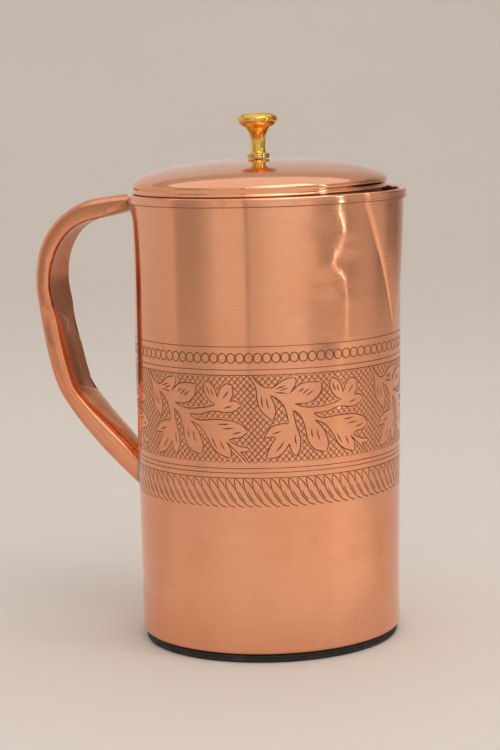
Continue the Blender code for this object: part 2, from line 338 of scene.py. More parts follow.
def turned(profile, segments=160, wobble=0.0):
    """Loops of a profile of (radius, height) turned round the Z axis, with a slight unevenness."""
    loops = []
    for radius, height in profile:
        loop = []
        for k in range(segments):
            a = 2 * math.pi * k / segments
            off = wobble * round_wave(1.3, a, height * 40)
            loop.append(polar(max(radius + off * min(1.0, radius / 0.01), 0.0), a, height))
        loops.append(loop)
    return loops


def arc(centre, radius, start, end, count):
    """Points on an arc in the (radius, height) plane, angles in degrees."""
    angles = [math.radians(start + (end - start) * k / count) for k in range(count + 1)]
    return [(centre[0] + radius * math.cos(a), centre[1] + radius * math.sin(a)) for a in angles]


def from_corner(corner, *points):
    """Places in the (radius, height) plane, from their distances to a corner in millimetres."""
    return [(corner[0] + out * MM, corner[1] + up * MM) for out, up in points]


# --------------- wall and spout

def beak_angle(high):
    """Half angle of the spout's beak in degrees, from its pointed root up to the rim."""
    return BEAK_SPREAD * max(0.0, high - BEAK_ROOT) / MM


def beak(theta, high):
    """How far the beak stands out: a broad rounded nose with a narrow steep flank on each side.

    The flank leans less where the beak is wide, so that it catches the same light all the way."""
    edge = beak_angle(high)
    if edge <= 0:
        return 0.0
    ridge = RIDGE * edge
    top = BEAK_TOP * (high - BEAK_ROOT) / (WALL_HIGH - BEAK_ROOT)
    steep = math.tan(math.radians(FLANK_TURN - edge)) * R_BASE * math.radians(edge - ridge)
    side = min(1.05 * steep, 0.9 * top)
    angle = abs(math.degrees(theta))
    nose = top - (top - side) * (angle / ridge) ** 2
    flank = side * (edge - angle) / (edge - ridge)
    return max(0.0, soft_min(nose, flank, 0.04 * MM * clamp(top / MM)))


# The dents beside the spout: their angle from it and their spread in degrees, and how far the
# sheet is tipped there, in degrees, at heights in millimetres.
DENTS_AT, DENTS_SPREAD = 36, 9
TIPPED = curve(((124, 0), (134, 5.5), (149, 6), (156, 3), (165, -3.5), (172, 0), (178, 2.8), (187, 0)))


def worked_dents(theta, high):
    """Hammer marks beside the spout: the sheet tips in and out, with a fine crinkle on it."""
    place = high / MM
    away = abs(math.degrees(theta)) - DENTS_AT
    ends = smooth((place - 122) / 10) * smooth((WALL_HIGH / MM - place) / 5)
    if ends <= 0 or abs(away) > 24:
        return 0.0
    tip = TIPPED(place)
    if theta > 0:
        tip, place = -0.8 * tip, place + 40
    window = math.exp(-(away / DENTS_SPREAD) ** 2)
    crinkle = 0.05 * wave(away * 1.5, place * 1.1, 3.0) + 0.035 * wave(away * 3.2, place * 2.2, 7.0)
    return ends * window * (crinkle - 0.03 - math.radians(tip) * math.radians(away) * 60)


def wall_radius(theta, high):
    """Outer radius of the wall at an angle from the spout and a height above the lower edge."""
    up = high / WALL_HIGH
    lean = max(0.0, (high - LEAN_START) / (WALL_HIGH - LEAN_START))
    radius = R_BASE - TAPER * up
    side = clamp(abs(theta) / LEAN_SPREAD)
    most = soft_min(LEAN_TOP * lean, LEAN_MOST, 0.4 * MM)
    radius += max(0.0, most) * math.cos(0.5 * math.pi * side) ** 2
    dent = 0.05 * round_wave(1.9, theta, high * 22)
    worked = smooth((high - 0.1) / 0.03) * smooth((math.radians(58) - abs(theta)) / 0.3)
    dent += 0.045 * worked * round_wave(9, theta, high * 75 + 5)
    edge = smooth(up * 6) * smooth((1 - up) * 12)
    return radius + beak(theta, high) + ((dent - 0.06) * edge + worked_dents(theta, high)) * MM


def shares(*legs):
    """Places in equal steps along legs of (start, end, count), without the first start."""
    return [a + (b - a) * (k + 1) / count for a, b, count in legs for k in range(count)]


# Places of the wall's columns on the nose, the flank and the rest of the wall.
ON_NOSE, ON_FLANK = shares((0, 1, 9)), shares((0, 1, 10))
ON_REST = shares((0, 0.28, 60), (0.28, 1, 78))


def wall_columns(high):
    """Signed angles of all columns at a height, from -pi round to just below pi."""
    edge = math.radians(max(beak_angle(high), beak_angle(BEAK_ROOT + 6 * MM)))
    ridge = RIDGE * edge
    right = [0.0] + [share * ridge for share in ON_NOSE]
    right += [ridge + (edge - ridge) * share for share in ON_FLANK]
    right += [edge + (math.pi - edge) * share for share in ON_REST]
    return [-a for a in right[:0:-1]] + right[:-1]


def wall_point(theta, high, inset=0.0):
    return polar(wall_radius(theta, high) - inset, theta, LEVEL + high)


def wall_loop(inset, high):
    return [wall_point(theta, high, inset) for theta in wall_columns(high)]


# --------------- engraving
# The band is drawn in millimetres: s runs round the jug towards the right, h is the height above
# the copper's lower edge. A cut is a V groove: a line of points, a half width and a depth.

BAND_R = 57.0                # the wall's radius that the drawing is made for
HALF_TURN = BAND_R * math.pi
OVAL_COUNT = 94
LATTICE_LOW, LATTICE_HIGH = 82.5, 119.7
CUT = 0.21                   # half width of a usual cut
DEPTH = 0.75                 # depth of a cut as a share of its half width

# Outline of one spray of leaves: runs of smooth spans between its tips and notches, where each
# run starts with its first point and each span goes on from the end of the last.
SPRAY = (
    ((-6.9, 119.7), ((-4.6, 116.6), (-3.4, 113.4), (-3.2, 109.5), (-1.8, 104.9), (3.0, 100.3)),
     ((4.4, 103.3), (4.2, 107.0), (2.3, 111.3)), ((5.5, 109.4), (8.2, 105.8), (9.8, 99.0)),
     ((5.8, 98.9), (1.8, 97.3), (-1.0, 93.1)), ((2.2, 93.6), (4.2, 93.3)),
     ((2.6, 91.0), (0.9, 87.7), (-0.2, 84.3)), ((5.0, 85.2), (8.3, 88.1), (9.8, 90.6)),
     ((10.8, 86.8), (12.5, 84.9)),
     ((14.3, 88.0), (14.6, 92.7), (13.3, 96.8), (12.3, 101.0), (11.7, 104.8)),
     ((14.8, 102.0), (16.6, 97.2), (17.9, 91.0), (21.0, 87.2), (25.8, 86.0)),
     ((26.7, 89.3), (25.8, 93.5), (23.3, 97.7), (20.8, 99.9)),
     ((24.0, 98.6), (26.8, 96.3), (29.4, 92.3), (31.8, 88.4), (35.1, 86.0), (39.3, 84.8)),
     ((39.4, 88.4), (37.3, 91.8)), ((40.4, 88.9), (44.0, 85.2), (46.1, 82.7))),
    ((47.2, 82.7), ((45.2, 85.5), (43.4, 87.6)), ((45.3, 87.3), (47.6, 88.1)),
     ((46.2, 89.3), (43.0, 89.9), (38.6, 92.2)), ((40.4, 93.1), (44.0, 93.7), (47.0, 96.0)),
     ((44.3, 98.9), (39.3, 100.7), (31.8, 101.0), (26.8, 100.5), (23.0, 101.0), (20.4, 102.9)),
     ((26.0, 103.0), (31.8, 104.6), (37.6, 104.0), (41.8, 104.8), (44.7, 107.3)),
     ((42.0, 108.9), (39.3, 108.7)), ((41.0, 111.8), (40.6, 115.4)),
     ((38.0, 116.2), (35.3, 114.0), (34.0, 110.4)), ((33.2, 113.4), (31.0, 116.4), (28.4, 117.4)),
     ((27.8, 113.2), (30.0, 109.4), (33.2, 107.3)),
     ((27.0, 105.9), (20.5, 105.3), (16.0, 105.9), (12.3, 107.3)),
     ((17.5, 107.2), (21.9, 109.2), (24.0, 112.4), (24.2, 115.8)),
     ((18.5, 116.0), (14.2, 115.0), (10.6, 111.6)), ((12.4, 114.2), (13.4, 116.8), (12.6, 118.5)),
     ((7.8, 117.4), (3.5, 114.5), (-0.2, 114.8), (-3.0, 116.9), (-5.1, 119.7))),
)
# Veins cut inside the leaves, each from its start to its end.
VEINS = (
    ((-1.3, 111.4), (-0.7, 105.6)), ((0.7, 110.6), (1.8, 104.8)),
    ((4.4, 113.7), (9.2, 115.2)), ((6.3, 112.9), (10.0, 114.2)), ((3.9, 112.4), (10.2, 111.7)),
    ((13.9, 111.8), (16.7, 113.9)), ((15.4, 110.8), (18.8, 113.5)), ((17.1, 110.2), (20.8, 112.7)),
    ((2.5, 94.8), (6.8, 96.0)), ((3.8, 86.8), (7.9, 92.0)), ((12.3, 94.5), (12.9, 89.3)),
    ((19.3, 96.4), (20.0, 92.0)), ((21.7, 96.0), (23.2, 90.6)),
    ((29.1, 115.2), (30.8, 111.0)), ((31.1, 114.2), (32.2, 111.0)),
    ((36.1, 109.8), (39.3, 113.5)), ((36.6, 105.8), (40.5, 106.8)),
    ((33.8, 98.9), (39.3, 99.3)), ((35.5, 97.0), (41.3, 97.5)), ((39.7, 94.8), (44.3, 96.0)),
    ((30.8, 93.9), (33.3, 88.5)), ((34.7, 92.3), (36.8, 87.7)),
)
# Where each spray stands: its angle from the spout in degrees and how much it is squeezed.
SPRAYS = ((-177.7, 1.0), (-123.0, 1.0), (-68.4, 1.0), (-13.5, 1.0), (41.2, 0.86), (88.2, 0.86),
          (135.3, 0.86))


def shaky(s, h, size=0.09):
    """A hand-cut point: the drawn point with a small smooth error."""
    return (s + size * wave(s * 0.45, h * 0.45, 1.7), h + size * wave(s * 0.45, h * 0.45, 8.3))


def pointed(line, width):
    """Half widths along a cut that starts and ends in a point."""
    last = len(line) - 1
    return [width * min(1.0, 2.6 * k / last, 2.6 * (last - k) / last) for k in range(last + 1)]


def outline_cut(line, width):
    """Half widths of an outline cut, full width with only its very ends pointed."""
    return [0.0, width * 0.9] + [width] * (len(line) - 4) + [width * 0.9, 0.0]


def sprays():
    """Cuts of all the leaf sprays, and the outlines of the plain leaf areas."""
    cuts, areas = [], []
    for angle, squeeze in SPRAYS:
        start = math.radians(angle) * BAND_R
        area = []
        for end, *spans in SPRAY:
            for span in spans:
                moved = [(start + s * squeeze, h) for s, h in (end, *span)]
                end = span[-1]
                line = [shaky(*p) for p in catmull(moved, 4)]
                area += line
                cuts.append((line, outline_cut(line, CUT * 1.12)))
        for (s0, h0), (s1, h1) in VEINS:
            bend = 0.09 * (h1 - h0)
            points = [(start + s0 * squeeze, h0), (start + (s0 + s1) / 2 * squeeze + bend * 0.4,
                      (h0 + h1) / 2), (start + s1 * squeeze, h1)]
            line = [shaky(*p) for p in catmull(points, 4)]
            cuts.append((line, pointed(line, CUT * 1.35)))
        areas.append(area)
    return cuts, areas


def inside(point, area):
    """True if a point lies inside a closed outline."""
    s, h = point
    found = False
    for (s0, h0), (s1, h1) in zip(area, area[1:] + area[:1]):
        if (h0 > h) != (h1 > h) and s < s0 + (s1 - s0) * (h - h0) / (h1 - h0):
            found = not found
    return found


def copies(line):
    """A line where it is and a whole turn away, as far as it reaches the drawn turn."""
    for turn in (-2, 0, 2):
        moved = [(s + turn * HALF_TURN, h) for s, h in line]
        low, high = min(p[0] for p in moved), max(p[0] for p in moved)
        if high > -HALF_TURN and low < HALF_TURN:
            yield low, high, moved


def plain_area_test(areas):
    """A quick test of whether a point lies in any leaf area, at any turn round the jug."""
    boxed = [copy for area in areas for copy in copies(area)]

    def test(point):
        return any(low < point[0] < high and inside(point, area) for low, high, area in boxed)
    return test


def lattice(in_leaf):
    """Crossed diagonal cuts that fill the ground between the leaves."""
    columns, rows = 276, 26
    wide, high = 2 * HALF_TURN / columns, (LATTICE_HIGH - LATTICE_LOW) / rows

    def node(i, j):
        turns, i = divmod(i, columns)
        s, h = -HALF_TURN + i * wide, LATTICE_LOW + j * high
        off = 0 if j in (0, rows) or i == 0 else 0.16
        return (s + off * wave(i * 7.1, j * 3.3, 2.2) + turns * 2 * HALF_TURN,
                h + off * wave(i * 5.3, j * 4.1, 9.1))

    cuts = []
    for first in range(-rows, columns):
        for step in (1, -1):
            i = first if step == 1 else first + rows
            if i % 2 == 1:
                continue
            knots = [node(i + step * j, j) for j in range(rows + 1)]
            points = [(a[0] + (b[0] - a[0]) * t / 4, a[1] + (b[1] - a[1]) * t / 4)
                      for a, b in zip(knots, knots[1:]) for t in range(4)] + knots[-1:]
            chain = []
            for p in points:
                if abs(p[0]) <= HALF_TURN + 0.01 and not in_leaf(p):
                    chain.append(p)
                elif chain:
                    cuts.append(chain)
                    chain = []
            cuts.append(chain)
    made = []
    for chain in cuts:
        if len(chain) > 2:
            thin = chain[:1] + chain[2:-1:2] + chain[-1:]
            made.append((thin, [0.0] + [CUT * 0.86] * (len(thin) - 2) + [0.0]))
    return made


def borders():
    """Ring lines, the row of ovals and the rope border."""
    cuts = []
    steps, oval_steps = 240, 14
    for h, width in ((131.7, 0.16), (122.0, 0.17), (119.75, 0.19), (80.4, 0.17), (78.5, 0.17),
                     (76.3, 0.18)):
        line = []
        for k in range(steps + 1):
            s = -HALF_TURN + 2 * HALF_TURN * k / steps
            line.append((s, h + 0.05 * round_wave(9, s / BAND_R, h)))
        cuts.append((line, [width] * (steps + 1)))
    pitch = 2 * HALF_TURN / OVAL_COUNT
    for k in range(OVAL_COUNT):
        centre = -HALF_TURN + pitch * (k + 0.5)
        wide = 1.76 + 0.05 * wave(k * 3.7, 0.5)
        ring = []
        for i in range(oval_steps + 1):
            a = 2 * math.pi * i / oval_steps
            ring.append((centre + wide * math.cos(a), 126.9 + 2.05 * math.sin(a)))
        cuts.append((ring, [0.23] * len(ring)))
        edge = centre + pitch / 2
        if k < OVAL_COUNT - 1:
            for h0, h1 in ((128.9, 128.1), (124.9, 125.7)):
                cuts.append(([(edge, h0), (edge, (h0 + h1) / 2), (edge, h1)], [0.0, 0.15, 0.0]))
        for points in (((0.0, 76.3), (0.35, 72.6), (2.0, 68.2), (5.2, 64.8), (8.0, 63.9)),
                       ((0.0, 76.3), (2.4, 74.2), (4.1, 71.2)),
                       ((1.7, 70.8), (3.1, 68.0), (4.7, 66.2))):
            line = [shaky(centre + s, h) for s, h in catmull(points, 3)]
            cuts.append((line, outline_cut(line, CUT * 1.05)))
    return cuts


def wrapped(cuts):
    """Cuts brought into one turn: copied where they cross the seam, and clipped there."""
    made = []
    for line, widths in cuts:
        for _, _, moved in copies(line):
            part, part_widths = [], []
            for k, (s, h) in enumerate(moved):
                if k:
                    s0, h0 = moved[k - 1]
                    for seam in (-HALF_TURN, HALF_TURN):
                        if (s0 - seam) * (s - seam) < 0:
                            t = (seam - s0) / (s - s0)
                            part.append((seam, h0 + (h - h0) * t))
                            part_widths.append(widths[k - 1] + (widths[k] - widths[k - 1]) * t)
                            if abs(s) > HALF_TURN:
                                made.append((part, part_widths))
                                part, part_widths = [], []
                if abs(s) <= HALF_TURN:
                    part.append((s, h))
                    part_widths.append(widths[k])
            made.append((part, part_widths))
    return [cut for cut in made if len(cut[0]) > 1]


def sides(line, widths):
    """Points at the left and right border of a cut, mitred at its bends."""
    left, right = [], []
    closed = line[0] == line[-1]
    last = len(line) - 1
    for k, (s, h) in enumerate(line):
        before = line[k - 1] if k else (line[-2] if closed else line[0])
        after = line[k + 1] if k < last else (line[1] if closed else line[-1])
        d0 = Vector((s - before[0], h - before[1]))
        d1 = Vector((after[0] - s, after[1] - h))
        d0 = d0.normalized() if d0.length > 1e-9 else d1.normalized()
        d1 = d1.normalized() if d1.length > 1e-9 else d0
        tangent = (d0 + d1).normalized()
        across = Vector((-tangent.y, tangent.x)) * widths[k]
        across /= max(0.75, abs(tangent.dot(d1)))
        if abs(abs(s) - HALF_TURN) < 1e-9:
            across = Vector((0, across.length if across.y > 0 else -across.length))
        left.append((s + across.x, h + across.y))
        right.append((s - across.x, h - across.y))
    return left, right


class Carving:
    """Depth of the engraving at any point of the band."""

    def __init__(self, cuts):
        self.parts = [(Vector(a), Vector(b), wa, wb) for line, widths in cuts
                      for a, b, wa, wb in zip(line, line[1:], widths, widths[1:])]
        samples = []
        for index, (a, b, _, _) in enumerate(self.parts):
            steps = max(1, math.ceil((b - a).length / 0.25))
            samples += [(a.lerp(b, i / steps), index) for i in range(steps + 1)]
        self.tree = kdtree.KDTree(len(samples))
        for place, index in samples:
            self.tree.insert((place.x, place.y, 0), index)
        self.tree.balance()

    def depth(self, point, reach=0.34):
        """Depth in millimetres at a point, 0 on the plain land."""
        best = 0.0
        place = Vector(point)
        for index in {index for _, index, _ in self.tree.find_range((*point, 0), reach)}:
            a, b, wa, wb = self.parts[index]
            along = b - a
            t = clamp((place - a).dot(along) / max(along.length_squared, 1e-12))
            width = wa + (wb - wa) * t
            if width > 1e-6:
                away = (place - a.lerp(b, t)).length
                best = max(best, DEPTH * (width - away))
        return best if best > 0.012 else 0.0


def engraved_band():
    """Triangles of the engraved part of the wall: vertices, faces and which faces are cut."""
    cuts, areas = sprays()
    cuts += lattice(plain_area_test(areas)) + borders()
    cuts = wrapped(cuts)
    carving = Carving(cuts)
    low, high = ENGRAVED_LOW / MM, ENGRAVED_HIGH / MM
    coords, edges = [], []

    def chain(points):
        start = len(coords)
        coords.extend(points)
        edges.extend((k, k + 1) for k in range(start, len(coords) - 1))

    for h in (low, high):
        columns = wall_columns(h * MM)
        row = [(theta * BAND_R, h) for theta in columns] + [(HALF_TURN, h)]
        row[0] = (-HALF_TURN, h)
        chain(row)
    for s in (-HALF_TURN, HALF_TURN):
        chain([(s, low + (high - low) * k / 40) for k in range(41)])
    for line, widths in cuts:
        for points in (line, *sides(line, widths)):
            chain(points)
    step = 1.7
    for j in range(1, int((high - low) / step) + 1):
        for i in range(int(2 * HALF_TURN / step)):
            s = -HALF_TURN + step * (i + 0.5 + 0.5 * (j % 2)) + 0.2 * wave(i * 3.1, j * 2.7)
            h = low + step * j + 0.2 * wave(i * 2.3, j * 3.9, 4)
            free = h < high - 0.8 and abs(s) < HALF_TURN - 0.8
            if free and not carving.tree.find_range((s, h, 0), 0.55):
                coords.append((s, h))
    coords = [Vector((clamp(s, -HALF_TURN, HALF_TURN), h)) for s, h in coords]
    flat, _, faces = delaunay_2d_cdt(coords, edges, [], 0, 1e-4, False)[:3]
    depths = [carving.depth(point) for point in flat]
    verts = [wall_point(point.x / BAND_R, point.y * MM, depth * MM)
             for point, depth in zip(flat, depths)]
    return verts, faces, [int(max(depths[k] for k in face) > 0) for face in faces]


def make_body_shell(mat):
    """Wall of the jug with its spout, rounded lower corner, turned-in lip and engraved band."""
    centre = (R_BASE - CORNER, CORNER)
    knee = WALL_HIGH - 54 * MM       # below the spout the inner face needs fewer rows
    below = [(LIP_R, 0.0)] + arc(centre, CORNER, -90, 0, 10)
    below += [(R_BASE, high) for high in shares((CORNER, ENGRAVED_LOW, 14))]
    above = [(R_BASE, high) for high in [ENGRAVED_HIGH] + shares((ENGRAVED_HIGH, WALL_HIGH, 52))]
    inner = [(R_BASE - SHEET, high)
             for high in [WALL_HIGH] + shares((WALL_HIGH, knee, 9), (knee, knee - 128 * MM, 8))]
    inner += arc(centre, CORNER - SHEET, 0, -90, 8) + [(LIP_R, SHEET), (LIP_R, 0.0)]
    parts = [engraved_band()]
    for profile, group in ((below, 0), (above, 0), (above[-1:] + inner, 2)):
        verts, faces = loft([wall_loop(R_BASE - radius, high) for radius, high in profile])
        parts.append((verts, faces, [group] * len(faces)))
    verts, faces, groups = [], [], []
    for more, more_faces, more_groups in parts:
        faces += [[len(verts) + k for k in face] for face in more_faces]
        verts += more
        groups += more_groups
    new_piece("engraved_wall", verts, faces, "jug", ["body_shell"], "copper_engraved",
              [mat["wall"], mat["groove"], mat["inside"]], 26, groups)


def make_rim_band(mat):
    """Strip folded over the rim, with rounded folds and a slightly uneven lower hem."""
    out = GAP + 0.8 * MM
    inner = -SHEET - GAP
    low, top = BAND_LOW - LEVEL, BAND_TOP - LEVEL
    section = from_corner((GAP, low), (0, 0.25), (0.25, 0))
    section += from_corner((out, low), (-0.22, 0), (-0.05, 0.12), (0, 0.35), (-0.07, 0.9))
    section += from_corner((out, top), (-0.07, -1.3))
    section += arc((out - 1.0 * MM, top - 1.0 * MM), 1.0 * MM, 8, 90, 7)
    section += arc((inner - 0.1 * MM, top - 0.75 * MM), 0.7 * MM, 92, 180, 6)
    section += from_corner((inner, top), (-0.8, -2.9), (0, -2.9), (0, -0.8))
    section += from_corner((GAP, top), (0, -0.8))
    loops = []
    for offset, high in section:
        loop = []
        for theta in wall_columns(min(high, WALL_HIGH)):
            uneven = round_wave(6, theta, high * 300) * 0.05 * MM
            radius = wall_radius(theta, min(high, WALL_HIGH)) + offset
            radius -= abs(uneven) * clamp(offset / out)
            loop.append(polar(radius, theta, LEVEL + high))
        loops.append(loop)
    verts, faces = loft(loops, closed=True)
    hem = 4 * len(loops[0])          # painted shade: the lower edge and the gap behind it take the dark groove material, standing in for the shadow line under the band
    new_piece("folded_rim", verts, faces, "jug", ["rim_band"], "copper_plain",
              [mat["rim"], mat["groove"]], 50, [1] * hem + [0] * (len(faces) - hem))


def make_base_disc(mat):
    """Bottom of the jug inside, with the rings that spinning leaves."""
    low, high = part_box("base_disc")[0].z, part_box("base_disc")[1].z
    profile = [(0.0, low)]
    profile += from_corner((DISC_R, low), (-0.2, 0), (0, 0.2))
    profile += from_corner((DISC_R, high), (0, -0.3))
    for k in range(49):
        r = DISC_R * (1 - k / 48)
        ring = 0.05 * MM * math.cos(r / (1.6 * MM)) * smooth((DISC_R - r) / (6 * MM))
        profile.append((max(r - 0.15 * MM, 0.0), high - 0.1 * MM + ring))
    new_piece("spun_bottom", *loft(turned(profile, 128)),
              "jug", ["base_disc"], "copper_plain", [mat["inside"]])


def make_foot_pad(mat):
    """Moulded black pad: a rounded outer edge, a groove in it and the plug inside the lip."""
    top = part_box("foot_pad")[1].z
    shelf, plug = LEVEL - GAP, LIP_R - GAP
    profile = from_corner((0, 0), (0, 0.6), (30, 0.6), (30.5, 0)) + from_corner((PAD_R, 0), (-2.6, 0))
    profile += arc((PAD_R - 0.8 * MM, 0.8 * MM), 0.8 * MM, -90, 0, 5)
    profile += from_corner((PAD_R, 0), (0, 1.7), (-0.3, 1.9), (-0.3, 2.2), (0, 2.4))
    profile += from_corner((PAD_R, shelf), (0, -0.3), (-0.3, 0))
    profile += [(plug, shelf), (plug, top), (0.0, top)]
    new_piece("moulded_foot", *loft(turned(profile)),
              "jug", ["foot_pad"], "rubber", [mat["rubber"]], 30)


# --------------- lid and knob

def dome(radius, shoulder, apex, hole, count):
    """Profile of the lid's dome from its shoulder up to the hole for the knob."""
    points = []
    for k in range(count + 1):
        r = hole + (radius - hole) * math.sin(0.5 * math.pi * (1 - k / count))
        points.append((r, shoulder + (apex - shoulder) * (1 - (r / radius) ** 2.5) ** 0.625))
    return points


def make_lid(mat):
    """Spun lid: low dome, short flange with a bead at its foot, and the plug ring under it."""
    shoulder, hole = LEVEL + 197.1 * MM, 2.2 * MM
    sheet, bead = 0.8 * MM, 0.4 * MM
    profile = from_corner((LID_R, LID_LOW), (-0.8, 0.2), (-0.55, 0))
    profile += arc((LID_R - bead, LID_LOW + bead), bead, -80, 60, 6)
    profile += from_corner((LID_R, LID_LOW), (-0.42, 1.15), (-0.46, 1.5), (-0.36, 2.0), (-0.15, 2.6),
                           (-0.03, 3.1))
    profile += dome(LID_R, shoulder, LID_APEX, hole, 44)
    profile += dome(LID_R - sheet, shoulder, LID_APEX - sheet, hole, 24)[::-1]
    new_piece("spun_lid", *loft(turned(profile, 240, 0.03 * MM), closed=True),
              "lid", ["lid_dome"], "copper_plain", [mat["lid"]], 45)

    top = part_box("lid_plug_ring")[1].z
    profile = [(RING_R, top)] + from_corner((RING_R, RING_LOW), (0, 3.0), (-0.2, 1.0))
    profile += arc((RING_R - bead, RING_LOW + bead), bead, 0, -180, 8)
    profile += [(RING_R - sheet, RING_LOW + 1.0 * MM), (RING_R - sheet, top)]
    new_piece("plug_ring", *loft(turned(profile, 200, 0.02 * MM), closed=True),
              "lid", ["lid_plug_ring"], "copper_plain", [mat["inside"]], 45)


def make_knob(mat):
    """Turned brass knob: collar, waisted stem and mushroom head with a crisp lower edge."""
    top = (KNOB_TOP - KNOB_LOW) / MM
    stem = catmull([(3.5, 2.35), (3.12, 3.3), (3.06, 4.6), (3.16, 6.6), (3.42, 8.8), (3.95, 10.8),
                    (4.75, 12.5), (5.55, 13.5)], 4)
    head = catmull([(6.0, 13.62), (6.6, 13.75), (7.6, 14.55), (8.35, 15.55), (8.7, 16.7), (8.45, 17.8),
                    (7.5, 18.75), (5.8, 19.45), (3.6, top - 0.22), (1.6, top - 0.04), (0.0, top)], 4)
    collar = [(4.45, 0.0), (4.7, 0.12), (4.85, 0.4), (4.85, 0.75), (4.72, 0.95), (4.72, 1.1),
              (4.85, 1.3), (4.85, 1.7), (4.7, 1.98), (4.4, 2.1), (3.9, 2.14)]
    profile = [(0.0, 6.0), (2.1, 5.6), (2.1, 0.0)] + collar + stem + head
    new_piece("turned_knob", *loft(turned(from_corner((0, KNOB_LOW), *profile), 112)),
              "knob", ["knob"], "brass_polished", [mat["brass"]], 38)


def keep_node(name, material):
    """Show a CAD node whose shape is right with a better material."""
    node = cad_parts[name]
    for slot in node.material_slots:
        slot.material = material


# --------------- handle

# Crown x, z, finger x, z and half width along the handle, in millimetres above the copper's edge.
STATIONS = (
    (-59.2, 192.2, -59.2, 184.4, 8.0), (-72.0, 191.0, -71.0, 181.5, 7.5),
    (-85.5, 188.2, -82.0, 179.3, 7.6), (-98.2, 180.3, -90.5, 174.2, 8.3),
    (-105.9, 168.8, -96.8, 164.5, 9.5), (-108.6, 154.0, -99.0, 153.0, 10.6),
    (-107.3, 139.5, -97.4, 141.5, 10.8), (-104.7, 121.5, -93.0, 124.0, 10.9),
    (-99.3, 103.8, -88.0, 106.0, 11.0), (-89.5, 88.8, -79.5, 95.8, 10.5),
    (-76.9, 74.3, -68.5, 84.9, 9.2), (-59.2, 58.0, -59.2, 75.3, 8.0),
)
HANDLE_STEPS = 14
SLOT_END = 8.5               # where the opening for the strip closes
CRIMP = 6.48                 # where the shell's near edge is pressed over it
HANDLE_PATH = catmull(STATIONS, HANDLE_STEPS)


def station(position):
    """The handle's values at a position, which counts stations from the rim down."""
    place = clamp(position * HANDLE_STEPS, 0, len(HANDLE_PATH) - 1)
    k = min(int(place), len(HANDLE_PATH) - 2)
    t = place - k
    return [a + (b - a) * t for a, b in zip(HANDLE_PATH[k], HANDLE_PATH[k + 1])]


def near(position, centre, width):
    """A smooth hump, 1 at the centre and 0 beyond the width."""
    return smooth(1 - abs(position - centre) / width)


def slot_half(position, half, side):
    """Reach of the opening on the finger side, in millimetres, towards one side of the handle.

    The near edge is crimped over the strip and at the slot's end laps right across it."""
    closing = smooth((position - SLOT_END + 0.5) / 0.45)
    opened = half - 1.2
    if side < 0:
        opened -= 9.5 * near(position, CRIMP, 0.45) + 3.6 * smooth((position - CRIMP) / 0.4)
    opened += 0.25 * wave(position * 2.3, 3.1)
    return opened * (1 - closing) + side * (half - 2.2 + 0.1 * side) * closing


def section_point(position, angle, inset):
    """Point of the handle's section: rounded crown, flat finger side that turns round lower down."""
    crown_x, crown_z, finger_x, finger_z, half = station(position)
    half -= 0.9 * near(position, CRIMP - 0.05, 0.55) * (0.4 + 0.6 * clamp(-math.sin(angle) * 2 + 0.5))
    middle = ((crown_x + finger_x) / 2, (crown_z + finger_z) / 2)
    deep = math.hypot(crown_x - finger_x, crown_z - finger_z) / 2
    out = ((crown_x - middle[0]) / deep, (crown_z - middle[1]) / deep)
    roundness = 0.5 * smooth((position - CRIMP + 0.3) / 0.9) + 0.5 * clamp((position - 8.25) / 1.5)
    up = math.sin(angle)
    power = 0.75 if up > 0 else 0.22 + 0.5 * roundness
    depth = (deep - inset) * math.copysign(abs(up) ** power, up)
    side = (half - inset) * math.cos(angle)
    uneven = 0.17 * wave(position * 1.1, math.cos(angle) * 2.4, up * 2.4) * clamp(position, 0, 1)
    depth -= abs(uneven) + 0.06
    return Vector(((middle[0] + out[0] * depth) * MM, side * MM,
                   LEVEL + (middle[1] + out[1] * depth) * MM))


def lip_angle(position, inset, side):
    """Angle at which the shell's edge lies on the finger side; it draws back at the rim."""
    half = station(position)[4]
    closed = math.acos(clamp(slot_half(position, half, side) / (half - inset), -1, 1))
    drawn = -0.12
    return closed + (drawn - closed) * clamp((1.7 - position) / 1.6) ** 0.9


def shell_section(position):
    """Closed loop of the folded shell: outer face from lip to lip, rounded edges, inner face."""
    points = 34
    outer, inner = [], []
    for row, inset in ((outer, 0.0), (inner, 1.0)):
        far, close = lip_angle(position, inset, 1), lip_angle(position, inset, -1)
        for k in range(points + 1):
            row.append(section_point(position, -far + (math.pi + far + close) * k / points, inset))
    loop = outer + inner[::-1]
    for a, b in ((0, len(loop) - 1), (points, points + 1)):
        middle = (loop[a] + loop[b]) / 2
        loop[a] = loop[a].lerp(middle, 0.35)
        loop[b] = loop[b].lerp(middle, 0.35)
    return loop


def make_handle_shell(mat):
    """Crown and sides of the hollow handle, with 16 sections between two stations."""
    loops = [shell_section(k / 16) for k in range((len(STATIONS) - 1) * 16 + 1)]
    new_piece("formed_handle", *loft(loops, capped=True),
              "jug", ["handle_shell"], "copper_handle", [mat["handle"]], 48)


